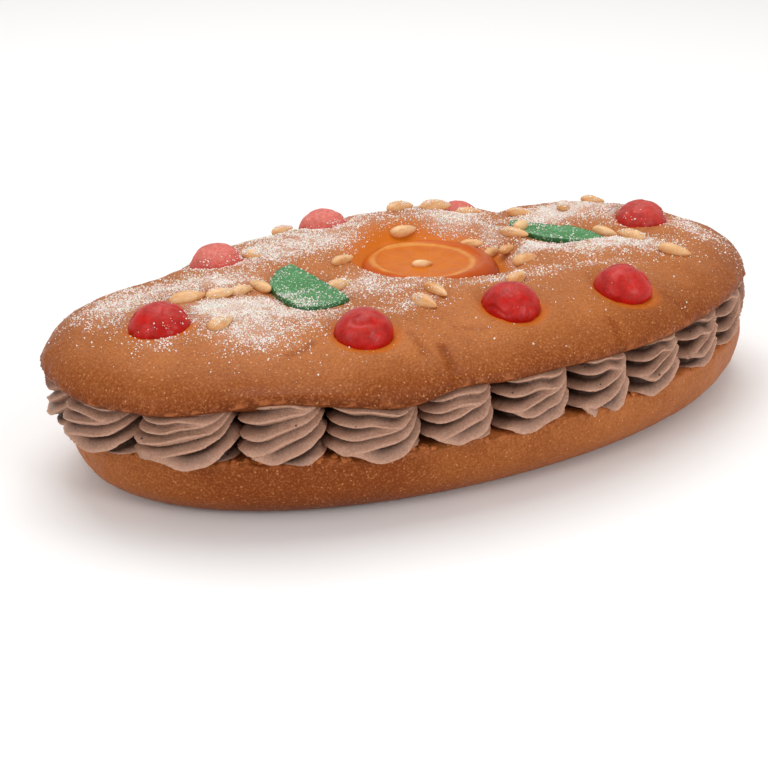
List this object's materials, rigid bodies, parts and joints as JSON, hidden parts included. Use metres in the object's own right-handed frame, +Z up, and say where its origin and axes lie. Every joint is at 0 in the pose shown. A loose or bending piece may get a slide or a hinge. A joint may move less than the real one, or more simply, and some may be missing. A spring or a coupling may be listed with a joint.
{
  "type": "chocolate-filled coca",
  "caption": "Oval sweet coca bread cut through the middle, filled with piped chocolate cream rosettes and topped with candied cherries, green peel, an orange slice, pine nuts and sugar.",
  "frame": {"origin": "middle of the flat underside of the lower half, under the loaf's middle", "axes": "+X along the loaf towards the end with the tapered green peel, +Z up, -Y is the side the picture was taken from"},
  "size_m": [0.32, 0.178, 0.0743],
  "materials": {
    "baked_crust": "soft satin egg-washed crust",
    "chocolate_cream": "matte, soft",
    "candied_cherry": "glossy, translucent",
    "candied_green_peel": "semi-gloss with sugar",
    "candied_orange": "glossy, translucent"
  },
  "bodies": {
    "root": {"bread_base": "baked_crust", "bread_top": "baked_crust", "cream_layer": "chocolate_cream", "cream_rosette_01": "chocolate_cream", "cream_rosette_02": "chocolate_cream", "cream_rosette_03": "chocolate_cream", "cream_rosette_04": "chocolate_cream", "cream_rosette_05": "chocolate_cream", "cream_rosette_06": "chocolate_cream", "cream_rosette_07": "chocolate_cream", "cream_rosette_08": "chocolate_cream", "cream_rosette_09": "chocolate_cream", "cream_rosette_10": "chocolate_cream", "cream_rosette_11": "chocolate_cream", "cream_rosette_12": "chocolate_cream", "cream_rosette_13": "chocolate_cream", "cream_rosette_14": "chocolate_cream", "cream_rosette_15": "chocolate_cream", "cream_rosette_16": "chocolate_cream", "cream_rosette_17": "chocolate_cream", "cream_rosette_18": "chocolate_cream", "cream_rosette_19": "chocolate_cream", "cream_rosette_20": "chocolate_cream", "cream_rosette_21": "chocolate_cream", "cream_rosette_22": "chocolate_cream", "cream_rosette_23": "chocolate_cream", "cream_rosette_24": "chocolate_cream", "cherry_1": "candied_cherry", "cherry_2": "candied_cherry", "cherry_3": "candied_cherry", "cherry_4": "candied_cherry", "cherry_5": "candied_cherry", "cherry_6": "candied_cherry", "cherry_7": "candied_cherry", "cherry_8": "candied_cherry", "green_peel_1": "candied_green_peel", "green_peel_2": "candied_green_peel", "orange_slice": "candied_orange"}
  },
  "joints": []
}
